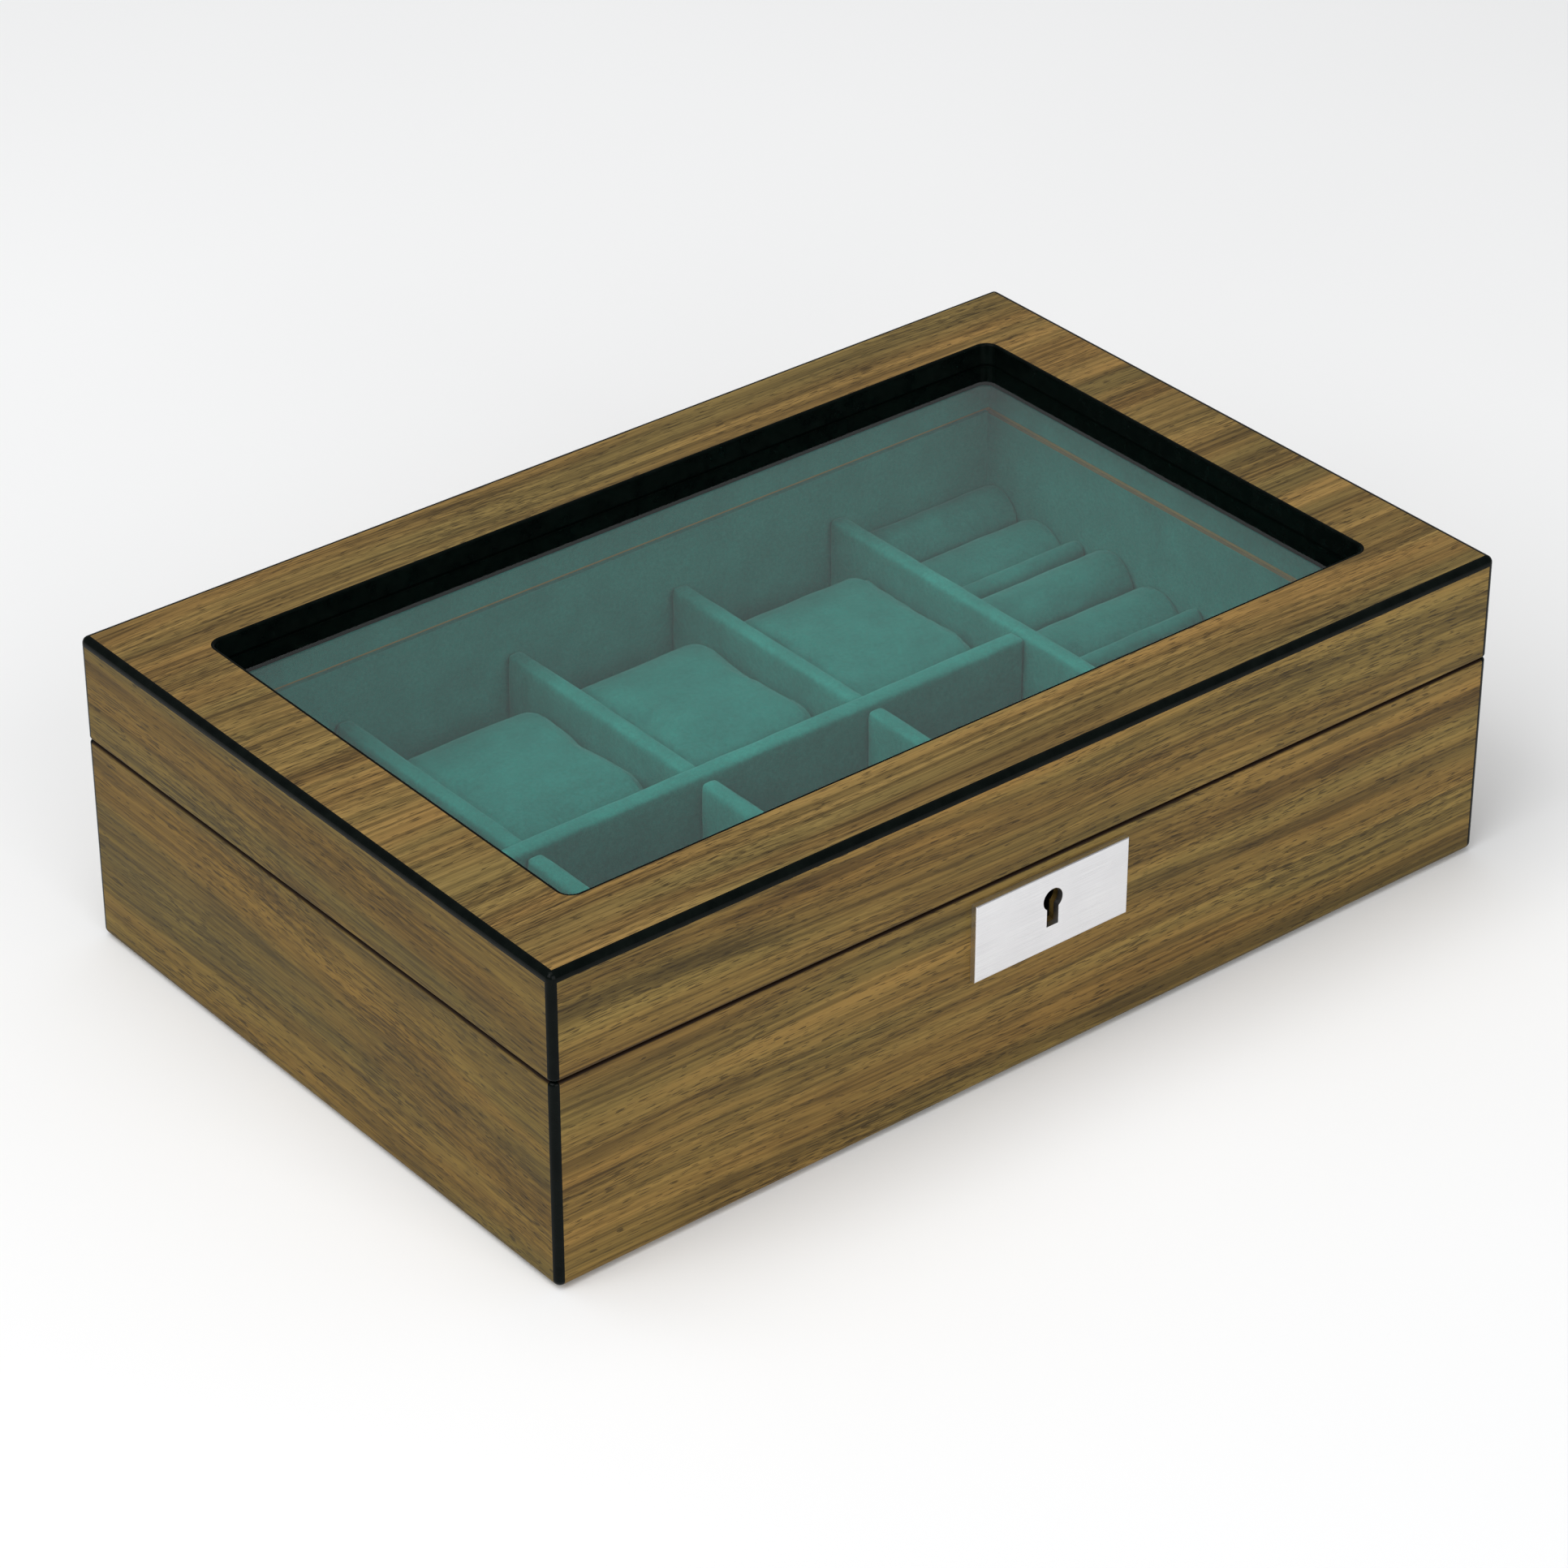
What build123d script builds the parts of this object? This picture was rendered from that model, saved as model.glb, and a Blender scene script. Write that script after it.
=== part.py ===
from build123d import *
import os

os.makedirs("parts", exist_ok=True)

# Millimetres. X runs along the front, Y from front to back, Z up.
# The origin is the middle of the underside. The lid is shut and the lock is open at rest.

# ---------- driving dimensions ----------
WIDTH = 320.0
DEPTH = 206.0
HEIGHT = 94.5
SEAM_Z = 62.8  # height of the joint between base and lid, and of the hinge axis
RIM_GAP = 0.3  # air between the two rims, kept by the bumpers
WALL = 12.0
BEAD = 2.1  # width of the black edge beads
TOP_BEAD_HEIGHT = 2.6
PAD = 0.8  # felt under the base
FLOOR = 5.0
LINER = 1.4  # suede-covered card on the walls
FLOOR_LINER = 1.0
RIM_BARE = 0.6  # wood left bare between a liner and its rim
RIM_BARE_RIGHT = 1.0
RIM_ROUND = 1.0
EDGE_ROUND = 2.0
FOOT_ROUND = 1.9  # bottom edges of the base

WINDOW_X = 273.0
WINDOW_Y = 158.0
WINDOW_R = 4.5
TRIM = 1.0
LEDGE_Z = 88.3  # underside of the top panel, where the glass bears
GLASS = 2.0
GLASS_OVERLAP = 6.0
GLASS_R = 3.0
GLASS_PLAY = 0.1
TRIM_ROUND = 0.6
RETAINER_LIP = 6.3  # depth of the black frame under the glass
FRAME_LINER = 0.8
FRAME_LINER_SETBACK = 3.0

FILLER_FACE_Y = -80.2  # inner face of the suede-covered filler behind the lock
DIVIDER = 6.0
DIVIDER_TOP = 47.5
BAY_DIVIDER_TOP = 46.0
LONG_DIVIDER_Y = 5.2
COLUMN = 58.6  # pitch of the five columns

PILLOW = (49.0, 66.0, 34.8)
PILLOW_LIFT_GAP = 0.3
PILLOW_BACK_SPACE = {"back": 11.0, "front": 8.0}

ROLL_PITCH = 51.0
ROLL_BED_Z = 28.0

HINGE_X = 105.0
HINGE_LENGTH = 40.0
LEAF = 1.2
LEAF_DEPTH = 10.0
KNUCKLES = 5
KNUCKLE_R = 1.9
KNUCKLE_GAP = 0.1
PIN_R = 0.9
PIN_PLAY = 0.05
BARREL_CLEAR = 0.25
BARREL_END_CLEAR = 0.2

PLATE = (52.6, 1.9, 23.5)
PLATE_Z = 47.65
KEY_Z = 51.0
KEY_R = 3.3
KEY_SLOT = 4.0
KEY_SLOT_END = 43.0
KEY_WALL_SCALE = 1.15  # the keyhole is cut a little larger in the wood than in the plate
PLATE_ROUND = 0.4

CASE = (48.0, 8.8, 22.65)
CASE_SETBACK = 2.0  # wood left in front of the lock case
CASE_WALL = 1.0
BOLT_TRAVEL = 5.0
STAPLE_X = 12.1
STAPLE_T = 1.8
STRIKE_HALF = 20.0
STRIKE_DEPTH = 7.0
STRIKE_SCREW_X = 16.0

# ---------- worked out ----------
HALF_X = WIDTH / 2
HALF_Y = DEPTH / 2
BASE_RIM = SEAM_Z - RIM_GAP / 2
LID_RIM = SEAM_Z + RIM_GAP / 2
PANEL_SKIN_Z = HEIGHT - TOP_BEAD_HEIGHT
IN_X = HALF_X - WALL
IN_Y = HALF_Y - WALL
LINED_X = IN_X - LINER
LINED_Y = IN_Y - LINER
BED_Z = PAD + FLOOR + FLOOR_LINER
LINER_TOP = BASE_RIM - RIM_BARE
LID_LINER_FOOT = LID_RIM + RIM_BARE
GLASS_Z = LEDGE_Z - GLASS
RETAINER_Z = GLASS_Z - RETAINER_LIP
CASE_FRONT = -HALF_Y + CASE_SETBACK
CASE_BACK = CASE_FRONT + CASE[1]
CASE_FOOT = BASE_RIM - CASE[2]
SEGMENT = HINGE_LENGTH / KNUCKLES
STRIKE_Y0 = CASE_FRONT + 1.0
STRIKE_Y1 = STRIKE_Y0 + STRIKE_DEPTH
STRIKE_SCREW_Y = (STRIKE_Y0 + STRIKE_Y1) / 2

MIN = Align.MIN
MID = Align.CENTER
MAX = Align.MAX


def save(builder, name):
    builder.part.label = name
    export_step(builder.part, f"parts/{name}.step")


def block(x0, x1, y0, y1, z0, z1, mode=Mode.ADD):
    """A box between two corners, in the part being built."""
    with Locations(((x0 + x1) / 2, (y0 + y1) / 2, (z0 + z1) / 2)):
        Box(x1 - x0, y1 - y0, z1 - z0, mode=mode)


def block_part(name, x0, x1, y0, y1, z0, z1, radius=0.0):
    with BuildPart() as piece:
        block(x0, x1, y0, y1, z0, z1)
        if radius:
            fillet(piece.faces().sort_by(Axis.Z)[-1].edges(), radius)
    save(piece, name)


def ring(outer, inner, z0, z1, outer_r=0.0, inner_r=0.0):
    """A flat frame: outer and inner are full sizes along X and Y."""
    with BuildSketch(Plane.XY.offset(z0)) as outline:
        if outer_r:
            RectangleRounded(*outer, outer_r)
        else:
            Rectangle(*outer)
        if inner_r:
            RectangleRounded(*inner, inner_r, mode=Mode.SUBTRACT)
        else:
            Rectangle(*inner, mode=Mode.SUBTRACT)
    extrude(outline.sketch, amount=z1 - z0)


# ---------- box walls ----------
def wall_outline(side):
    """Mitred wall outline, notched at both ends for the corner beads."""
    along, across = (HALF_X, HALF_Y) if side in ("front", "back") else (HALF_Y, HALF_X)
    sign = -1 if side in ("front", "left") else 1
    half = [(along - BEAD, across), (along - BEAD, across - BEAD), (along - WALL, across - WALL)]
    points = half + [(-a, c) for a, c in reversed(half)]
    if side in ("front", "back"):
        return [(a, sign * c) for a, c in points]
    return [(sign * c, a) for a, c in points]


def outer_form(z0, z1, foot_round, top_round):
    """The outside of the base or the lid as a block with rounded lower and upper edges."""
    with BuildPart() as form:
        block(-HALF_X, HALF_X, -HALF_Y, HALF_Y, z0, z1)
        fillet(form.edges().filter_by(Axis.Z), EDGE_ROUND)
        fillet(form.faces().sort_by(Axis.Z)[0].edges(), foot_round)
        if top_round:
            fillet(form.faces().sort_by(Axis.Z)[-1].edges(), top_round)
    return form.part


BASE_FORM = outer_form(PAD, BASE_RIM, FOOT_ROUND, RIM_ROUND)
LID_FORM = outer_form(LID_RIM, PANEL_SKIN_Z, RIM_ROUND, 0)


def wall(side, z0, z1, form):
    """One mitred wall, trimmed to the rounded outer form."""
    with BuildSketch(Plane.XY.offset(z0)) as outline:
        with BuildLine():
            Polyline(wall_outline(side), close=True)
        make_face()
    extrude(outline.sketch, amount=z1 - z0)
    add(form, mode=Mode.INTERSECT)


def keyhole(scale):
    """The keyhole's outline: a round head over a straight slot."""
    with Locations((0, KEY_Z)):
        Circle(KEY_R * scale)
    with Locations((0, (KEY_Z + KEY_SLOT_END) / 2)):
        Rectangle(KEY_SLOT * scale, KEY_Z - KEY_SLOT_END)


def cut_keyhole(y0, y1, scale):
    with BuildSketch(Plane.XZ.offset(-y1)) as outline:
        keyhole(scale)
    extrude(outline.sketch, amount=y1 - y0, mode=Mode.SUBTRACT)


def cut_hinge_pockets(z0, z1):
    """Shallow leaf mortises and the round groove for the barrel, at both hinges."""
    reach = HINGE_LENGTH / 2
    for x in (-HINGE_X, HINGE_X):
        block(x - reach, x + reach, HALF_Y - LEAF_DEPTH, HALF_Y, z0, z1, mode=Mode.SUBTRACT)
        with Locations(Location((x, HALF_Y, SEAM_Z), (0, 90, 0))):
            Cylinder(
                KNUCKLE_R + BARREL_CLEAR,
                HINGE_LENGTH + 2 * BARREL_END_CLEAR,
                mode=Mode.SUBTRACT,
            )


SCREW_Y = HALF_Y - 6.0
SCREW_SLOT = (0.5, 0.4)  # width and depth
SCREW_STEP = 13.0
SCREW_HEAD_R = 1.9
SCREW_SHANK_R = 0.9
SCREW_LENGTH = 8.0


def hinge_screw_places():
    return [(x + SCREW_STEP * i, SCREW_Y) for x in (-HINGE_X, HINGE_X) for i in (-1, 0, 1)]


def screw(x, y, face_z, down, mode=Mode.ADD):
    """A countersunk screw whose head is flush with face_z, pointing down or up."""
    sign = -1 if down else 1
    low, high = (SCREW_SHANK_R, SCREW_HEAD_R) if down else (SCREW_HEAD_R, SCREW_SHANK_R)
    with Locations((x, y, face_z)):
        Cone(low, high, LEAF, align=(MID, MID, MAX if down else MIN), mode=mode)
    with Locations((x, y, face_z + sign * LEAF)):
        Cylinder(
            SCREW_SHANK_R,
            SCREW_LENGTH - LEAF,
            align=(MID, MID, MAX if down else MIN),
            mode=mode,
        )
    if mode == Mode.ADD:
        width, deep = SCREW_SLOT
        with Locations((x, y, face_z + sign * deep / 2)):
            Box(2 * SCREW_HEAD_R + 1, width, deep, mode=Mode.SUBTRACT)


with BuildPart() as front_wall:
    wall("front", PAD, BASE_RIM, BASE_FORM)
    block(
        -CASE[0] / 2, CASE[0] / 2, CASE_FRONT, -IN_Y, CASE_FOOT, BASE_RIM, mode=Mode.SUBTRACT
    )
    cut_keyhole(-HALF_Y, CASE_FRONT, KEY_WALL_SCALE)
save(front_wall, "base_front_wall")

with BuildPart() as back_wall:
    wall("back", PAD, BASE_RIM, BASE_FORM)
    cut_hinge_pockets(BASE_RIM - LEAF, BASE_RIM)
    for x, y in hinge_screw_places():
        screw(x, y, BASE_RIM, True, mode=Mode.SUBTRACT)
save(back_wall, "base_back_wall")

for side in ("left", "right"):
    with BuildPart() as side_wall:
        wall(side, PAD, BASE_RIM, BASE_FORM)
    save(side_wall, f"base_{side}_wall")


def corner_beads(name, z0, z1, form):
    """The four upright edge beads, trimmed to the rounded outer form."""
    with BuildPart() as beads:
        with Locations((0, 0, (z0 + z1) / 2)):
            with GridLocations(WIDTH - BEAD, DEPTH - BEAD, 2, 2):
                Box(BEAD, BEAD, z1 - z0)
        add(form, mode=Mode.INTERSECT)
    save(beads, name)


corner_beads("base_corner_beads", PAD, BASE_RIM, BASE_FORM)

# ---------- floor and pad ----------
PAD_INSET = 3.0
PAD_R = 4.0
with BuildPart() as base_pad:
    with BuildSketch():
        RectangleRounded(WIDTH - 2 * PAD_INSET, DEPTH - 2 * PAD_INSET, PAD_R)
    extrude(amount=PAD)
save(base_pad, "base_pad")

block_part("base_floor", -IN_X, IN_X, -IN_Y, IN_Y, PAD, PAD + FLOOR)
block_part("floor_liner", -IN_X, IN_X, -IN_Y, IN_Y, PAD + FLOOR, BED_Z)

# ---------- base lining ----------
block_part("base_back_liner", -LINED_X, LINED_X, LINED_Y, IN_Y, BED_Z, LINER_TOP)
block_part("base_left_liner", -IN_X, -LINED_X, -IN_Y, IN_Y, BED_Z, LINER_TOP)
block_part("base_right_liner", LINED_X, IN_X, -IN_Y, IN_Y, BED_Z, BASE_RIM - RIM_BARE_RIGHT)
block_part("front_filler", -LINED_X, LINED_X, -IN_Y, FILLER_FACE_Y, BED_Z, LINER_TOP)

# ---------- dividers ----------
HALF_DIV = DIVIDER / 2
CUFF_DIVIDER_X = 1.5 * COLUMN
BAY_DIVIDER_XS = [(i - 1.5) * COLUMN for i in range(3)]
DIVIDER_ROUND = 0.8

block_part(
    "long_divider",
    -LINED_X,
    CUFF_DIVIDER_X - HALF_DIV,
    LONG_DIVIDER_Y - HALF_DIV,
    LONG_DIVIDER_Y + HALF_DIV,
    BED_Z,
    DIVIDER_TOP,
    radius=DIVIDER_ROUND,
)
block_part(
    "cufflink_divider",
    CUFF_DIVIDER_X - HALF_DIV,
    CUFF_DIVIDER_X + HALF_DIV,
    FILLER_FACE_Y,
    LINED_Y,
    BED_Z,
    DIVIDER_TOP,
    radius=DIVIDER_ROUND,
)
ROWS = {
    "back": (LONG_DIVIDER_Y + HALF_DIV, LINED_Y),
    "front": (FILLER_FACE_Y, LONG_DIVIDER_Y - HALF_DIV),
}
for row, (y0, y1) in ROWS.items():
    with BuildPart() as bay_dividers:
        for x in BAY_DIVIDER_XS:
            block(x - HALF_DIV, x + HALF_DIV, y0, y1, BED_Z, BAY_DIVIDER_TOP)
        fillet(bay_dividers.faces().group_by(Axis.Z)[-1].edges().filter_by(Axis.Y), DIVIDER_ROUND)
    save(bay_dividers, f"{row}_bay_dividers")

# ---------- watch pillows ----------
BAY_EDGES = [-LINED_X] + [x + HALF_DIV for x in BAY_DIVIDER_XS]
BAY_ENDS = [x - HALF_DIV for x in BAY_DIVIDER_XS] + [CUFF_DIVIDER_X - HALF_DIV]
PILLOW_TOP_R = 13.0
PILLOW_FOOT_R = 9.0
PILLOW_END_R = 2.5


def pillow(name, x, y):
    """A rounded bolster that lies along X; a watch strap wraps round it."""
    length, depth, height = PILLOW
    z = BED_Z + PILLOW_LIFT_GAP
    with BuildPart() as piece:
        block(x - length / 2, x + length / 2, y - depth / 2, y + depth / 2, z, z + height)
        along = piece.edges().filter_by(Axis.X)
        fillet(along.group_by(Axis.Z)[-1], PILLOW_TOP_R)
        along = piece.edges().filter_by(Axis.X).group_by(Axis.Z)[0]
        fillet(along.sort_by(Axis.Y)[0], PILLOW_FOOT_R)
        along = piece.edges().filter_by(Axis.X).group_by(Axis.Z)[0]
        fillet(along.sort_by(Axis.Y)[-1], PILLOW_FOOT_R)
        fillet(piece.faces().sort_by(Axis.X)[0].edges(), PILLOW_END_R)
        fillet(piece.faces().sort_by(Axis.X)[-1].edges(), PILLOW_END_R)
    save(piece, name)


for row, (y0, y1) in ROWS.items():
    for number, (x0, x1) in enumerate(zip(BAY_EDGES, BAY_ENDS), start=1):
        middle_y = y1 - PILLOW_BACK_SPACE[row] - PILLOW[1] / 2
        pillow(f"pillow_{row}_{number}", (x0 + x1) / 2, middle_y)

# ---------- cufflink section ----------
CUFF_X0 = CUFF_DIVIDER_X + HALF_DIV
CUFF_X1 = LINED_X
ROLL_START_Y = 95.0  # back edge of the first wide roll, which the back wall cuts short
WIDE_ROLL = 21.5
MID_ROLL = 20.3
LEDGE_ROLL = 6.8
LEDGE_BACK = 44.0  # from a module's back edge to its ledge
ROLL_CLEAR = 0.2
# heights at a roll's back edge, crown and front edge, and how far the crown leans to the front
WIDE_SECTION = (33.5, 40.0, 33.0, 3.0)
MID_SECTION = (32.5, 36.6, 31.0, -1.0)
LEDGE_SECTION = (35.2, 37.4, 35.0, 0.0)
block_part("cufflink_bed", CUFF_X0, CUFF_X1, FILLER_FACE_Y, LINED_Y, BED_Z, ROLL_BED_Z)


def roll(y_back, y_front, z_back, z_top, z_front, lean):
    """A soft roll that lies along X, its crown pushed towards the front by lean."""
    crown = (y_back + y_front) / 2 - lean
    with BuildSketch(Plane.YZ.offset(CUFF_X0)) as outline:
        with BuildLine():
            Spline([(y_front, z_front), (crown, z_top), (y_back, z_back)])
            Line((y_back, z_back), (y_back, ROLL_BED_Z))
            Line((y_back, ROLL_BED_Z), (y_front, ROLL_BED_Z))
            Line((y_front, ROLL_BED_Z), (y_front, z_front))
        make_face()
    extrude(outline.sketch, amount=CUFF_X1 - CUFF_X0)


with BuildPart() as wide_rolls:
    for i in range(4):
        back = ROLL_START_Y - i * ROLL_PITCH
        roll(back, max(back - WIDE_ROLL, FILLER_FACE_Y), *WIDE_SECTION)
    block(CUFF_X0, CUFF_X1, LINED_Y, HALF_Y, ROLL_BED_Z, BASE_RIM, mode=Mode.SUBTRACT)
save(wide_rolls, "cufflink_wide_rolls")

with BuildPart() as mid_rolls:
    for i in range(3):
        back = ROLL_START_Y - i * ROLL_PITCH - WIDE_ROLL - ROLL_CLEAR
        roll(back, back - MID_ROLL, *MID_SECTION)
save(mid_rolls, "cufflink_mid_rolls")

with BuildPart() as ledges:
    for i in range(3):
        back = ROLL_START_Y - i * ROLL_PITCH - LEDGE_BACK
        roll(back, back - LEDGE_ROLL, *LEDGE_SECTION)
save(ledges, "cufflink_ledges")


# ---------- lid ----------
def strike_plate(mode=Mode.ADD):
    block(-STRIKE_HALF, STRIKE_HALF, STRIKE_Y0, STRIKE_Y1, LID_RIM, LID_RIM + LEAF, mode=mode)


with BuildPart() as lid_front:
    wall("front", LID_RIM, PANEL_SKIN_Z, LID_FORM)
    strike_plate(mode=Mode.SUBTRACT)
    for x in (-STRIKE_SCREW_X, STRIKE_SCREW_X):
        screw(x, STRIKE_SCREW_Y, LID_RIM, False, mode=Mode.SUBTRACT)
save(lid_front, "lid_front_wall")

with BuildPart() as lid_back:
    wall("back", LID_RIM, PANEL_SKIN_Z, LID_FORM)
    cut_hinge_pockets(LID_RIM, LID_RIM + LEAF)
    for x, y in hinge_screw_places():
        screw(x, y, LID_RIM, False, mode=Mode.SUBTRACT)
save(lid_back, "lid_back_wall")

for side in ("left", "right"):
    with BuildPart() as side_wall:
        wall(side, LID_RIM, PANEL_SKIN_Z, LID_FORM)
    save(side_wall, f"lid_{side}_wall")

corner_beads("lid_corner_beads", LID_RIM, PANEL_SKIN_Z, LID_FORM)


def mitre_cut(side):
    """Keep only one side of a frame, cut at 45 degrees from its outer corners."""
    reach = HALF_Y / 2
    joint = 0.03  # glue line that keeps the strips separate
    if side in ("front", "back"):
        s = -1 if side == "front" else 1
        points = [
            (-HALF_X, s * HALF_Y),
            (HALF_X, s * HALF_Y),
            (HALF_X - reach, s * (HALF_Y - reach)),
            (-HALF_X + reach, s * (HALF_Y - reach)),
        ]
    else:
        s = -1 if side == "left" else 1
        points = [
            (s * HALF_X, -HALF_Y + joint),
            (s * HALF_X, HALF_Y - joint),
            (s * (HALF_X - reach), HALF_Y - reach - joint),
            (s * (HALF_X - reach), -HALF_Y + reach + joint),
        ]
    with BuildSketch() as wedge:
        with BuildLine():
            Polyline(points, close=True)
        make_face()
    extrude(wedge.sketch, amount=2 * HEIGHT, mode=Mode.INTERSECT)


def top_bead(side):
    with BuildPart() as strip:
        ring(
            (WIDTH, DEPTH),
            (WIDTH - 2 * BEAD, DEPTH - 2 * BEAD),
            PANEL_SKIN_Z,
            HEIGHT,
        )
        uprights = strip.edges().filter_by(Axis.Z)
        fillet(uprights.filter_by(lambda e: abs(e.center().X) > HALF_X - 0.1), EDGE_ROUND)
        rim = strip.faces().sort_by(Axis.Z)[-1].outer_wire()
        fillet(rim.edges(), EDGE_ROUND)
        mitre_cut(side)
    return strip.part


with BuildPart() as top_beads:
    add([top_bead(side) for side in ("front", "back", "left", "right")], mode=Mode.ADD)
save(top_beads, "lid_top_beads")

with BuildPart() as top_panel:
    ring(
        (WIDTH - 2 * BEAD, DEPTH - 2 * BEAD),
        (WINDOW_X, WINDOW_Y),
        PANEL_SKIN_Z,
        HEIGHT,
        inner_r=WINDOW_R,
    )
    ring((2 * IN_X, 2 * IN_Y), (WINDOW_X, WINDOW_Y), LEDGE_Z, PANEL_SKIN_Z, inner_r=WINDOW_R)
save(top_panel, "lid_top_panel")

with BuildPart() as trim:
    ring(
        (WINDOW_X, WINDOW_Y),
        (WINDOW_X - 2 * TRIM, WINDOW_Y - 2 * TRIM),
        LEDGE_Z,
        HEIGHT,
        outer_r=WINDOW_R,
        inner_r=WINDOW_R - TRIM,
    )
    fillet(trim.faces().sort_by(Axis.Z)[-1].inner_wires()[0].edges(), TRIM_ROUND)
save(trim, "window_trim")

GLASS_X = WINDOW_X + 2 * GLASS_OVERLAP
GLASS_Y = WINDOW_Y + 2 * GLASS_OVERLAP
with BuildPart() as glass:
    with BuildSketch(Plane.XY.offset(GLASS_Z)):
        RectangleRounded(GLASS_X, GLASS_Y, GLASS_R)
    extrude(amount=GLASS)
save(glass, "glass_pane")

with BuildPart() as retainer:
    ring(
        (2 * IN_X, 2 * IN_Y),
        (WINDOW_X - 2 * TRIM, WINDOW_Y - 2 * TRIM),
        RETAINER_Z,
        GLASS_Z,
        inner_r=WINDOW_R - TRIM,
    )
    ring((2 * IN_X, 2 * IN_Y), (GLASS_X + 2 * GLASS_PLAY, GLASS_Y + 2 * GLASS_PLAY), GLASS_Z, LEDGE_Z)
save(retainer, "glass_retainer")

FRAME_LINER_X = WINDOW_X + 2 * FRAME_LINER_SETBACK
FRAME_LINER_Y = WINDOW_Y + 2 * FRAME_LINER_SETBACK
LID_LINER_TOP = RETAINER_Z - FRAME_LINER
with BuildPart() as frame_liner:
    ring(
        (2 * IN_X, 2 * IN_Y),
        (FRAME_LINER_X, FRAME_LINER_Y),
        LID_LINER_TOP,
        RETAINER_Z,
        inner_r=WINDOW_R,
    )
save(frame_liner, "lid_frame_liner")

block_part("lid_back_liner", -LINED_X, LINED_X, LINED_Y, IN_Y, LID_LINER_FOOT, LID_LINER_TOP)
block_part("lid_front_liner", -LINED_X, LINED_X, -IN_Y, -LINED_Y, LID_LINER_FOOT, LID_LINER_TOP)
block_part("lid_left_liner", -IN_X, -LINED_X, -IN_Y, IN_Y, LID_LINER_FOOT, LID_LINER_TOP)
block_part("lid_right_liner", LINED_X, IN_X, -IN_Y, IN_Y, LID_LINER_FOOT, LID_LINER_TOP)

# ---------- rim bumpers ----------
BUMPER_R = 1.1
BUMPER_X = IN_X + 1.6
BUMPER_Y = 20.6
BUMPER_SHARE = 0.9  # of the gap between the rims
with BuildPart() as bumpers:
    with Locations((0, 0, BASE_RIM)):
        with GridLocations(2 * BUMPER_X, 2 * BUMPER_Y, 2, 2):
            Cylinder(BUMPER_R, RIM_GAP * BUMPER_SHARE, align=(MID, MID, MIN))
save(bumpers, "rim_bumpers")


# ---------- hinges ----------
def knuckles(owner):
    """Every second barrel segment belongs to the base leaf, the others to the lid leaf."""
    first = 0 if owner == "base" else 1
    return range(first, KNUCKLES, 2)


def leaf(x, owner):
    reach = HINGE_LENGTH / 2
    z0, z1 = (BASE_RIM - LEAF, BASE_RIM) if owner == "base" else (LID_RIM, LID_RIM + LEAF)
    plate_end = HALF_Y - KNUCKLE_R - KNUCKLE_GAP
    block(x - reach, x + reach, HALF_Y - LEAF_DEPTH, plate_end, z0, z1)
    bore = PIN_R if owner == "base" else PIN_R + PIN_PLAY
    for k in knuckles(owner):
        centre = x - reach + (k + 0.5) * SEGMENT
        length = SEGMENT - 2 * KNUCKLE_GAP
        block(centre - length / 2, centre + length / 2, plate_end - KNUCKLE_GAP, HALF_Y, z0, z1)
        with Locations(Location((centre, HALF_Y, SEAM_Z), (0, 90, 0))):
            Cylinder(KNUCKLE_R, length)
            Cylinder(bore, length + 1, mode=Mode.SUBTRACT)


for owner in ("base", "lid"):
    face = BASE_RIM if owner == "base" else LID_RIM
    with BuildPart() as leaves:
        for x in (-HINGE_X, HINGE_X):
            leaf(x, owner)
        for x, y in hinge_screw_places():
            screw(x, y, face, owner == "base", mode=Mode.SUBTRACT)
    save(leaves, f"hinge_{owner}_leaves")
    with BuildPart() as screws:
        for x, y in hinge_screw_places():
            screw(x, y, face, owner == "base")
    save(screws, f"hinge_{owner}_screws")

with BuildPart() as pins:
    for x in (-HINGE_X, HINGE_X):
        with Locations(Location((x, HALF_Y, SEAM_Z), (0, 90, 0))):
            Cylinder(PIN_R, HINGE_LENGTH)
save(pins, "hinge_pins")

# ---------- lock ----------
with BuildPart() as plate:
    block(
        -PLATE[0] / 2,
        PLATE[0] / 2,
        -HALF_Y - PLATE[1],
        -HALF_Y,
        PLATE_Z - PLATE[2] / 2,
        PLATE_Z + PLATE[2] / 2,
    )
    fillet(plate.faces().sort_by(Axis.Y)[0].edges(), PLATE_ROUND)
    cut_keyhole(-HALF_Y - PLATE[1], -HALF_Y, 1.0)
save(plate, "lock_escutcheon")

CASE_IN_FRONT = CASE_FRONT + CASE_WALL
CAP_FRONT = CASE_BACK - CASE_WALL
STAPLE_PLAY = 0.4
STAPLE_Y0 = CASE_IN_FRONT + STAPLE_PLAY
STAPLE_Y1 = CAP_FRONT - STAPLE_PLAY
with BuildPart() as case:
    block(-CASE[0] / 2, CASE[0] / 2, CASE_FRONT, CAP_FRONT, CASE_FOOT, BASE_RIM)
    block(
        -CASE[0] / 2 + CASE_WALL,
        CASE[0] / 2 - CASE_WALL,
        CASE_IN_FRONT,
        CAP_FRONT,
        CASE_FOOT + CASE_WALL,
        BASE_RIM - CASE_WALL,
        mode=Mode.SUBTRACT,
    )
    block(
        STAPLE_X - STAPLE_T / 2 - STAPLE_PLAY,
        STAPLE_X + STAPLE_T / 2 + STAPLE_PLAY,
        CASE_IN_FRONT,
        CAP_FRONT,
        BASE_RIM - CASE_WALL,
        BASE_RIM,
        mode=Mode.SUBTRACT,
    )
    cut_keyhole(CASE_FRONT, CASE_IN_FRONT, 1.0)
save(case, "lock_case")

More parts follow.
